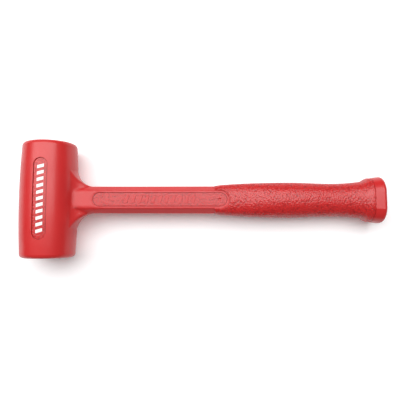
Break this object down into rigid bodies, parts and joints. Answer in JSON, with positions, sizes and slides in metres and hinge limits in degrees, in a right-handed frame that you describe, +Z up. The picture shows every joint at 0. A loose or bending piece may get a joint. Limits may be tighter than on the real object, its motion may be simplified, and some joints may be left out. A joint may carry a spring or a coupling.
{
  "type": "dead blow mallet",
  "caption": "One-piece dead blow mallet with a barrel head, flat-sided shank and pebbled grip; loose steel shot slides in a closed canister in the head to stop rebound.",
  "frame": {"origin": "middle of the bottom of the bounding box: the mallet lies on its side on Z = 0, resting on the head's side and the butt's rim", "axes": "+X from the head to the butt along the handle, which falls 1.55 degrees towards the butt; +Y along the head, out of the front striking face; +Z up"},
  "size_m": [0.3308, 0.1036, 0.0502],
  "materials": {
    "red_urethane": "satin cast urethane",
    "mill_steel": "plain mill finish",
    "weld_metal": "as welded",
    "shot_steel": "smooth"
  },
  "bodies": {
    "mallet": {"urethane_body": "red_urethane", "canister_tube": "mill_steel", "canister_cap_front": "mill_steel", "canister_cap_rear": "mill_steel", "cap_weld_front": "weld_metal", "cap_weld_rear": "weld_metal", "handle_rod": "mill_steel", "rod_weld": "weld_metal"},
    "shot_load": {"steel_shot": "shot_steel"}
  },
  "joints": [
    {"name": "shot_slide", "type": "slide", "parent": "mallet", "child": "shot_load", "axis": [0, 1, 0], "range_m": [-0.0086, 0.0086]}
  ]
}
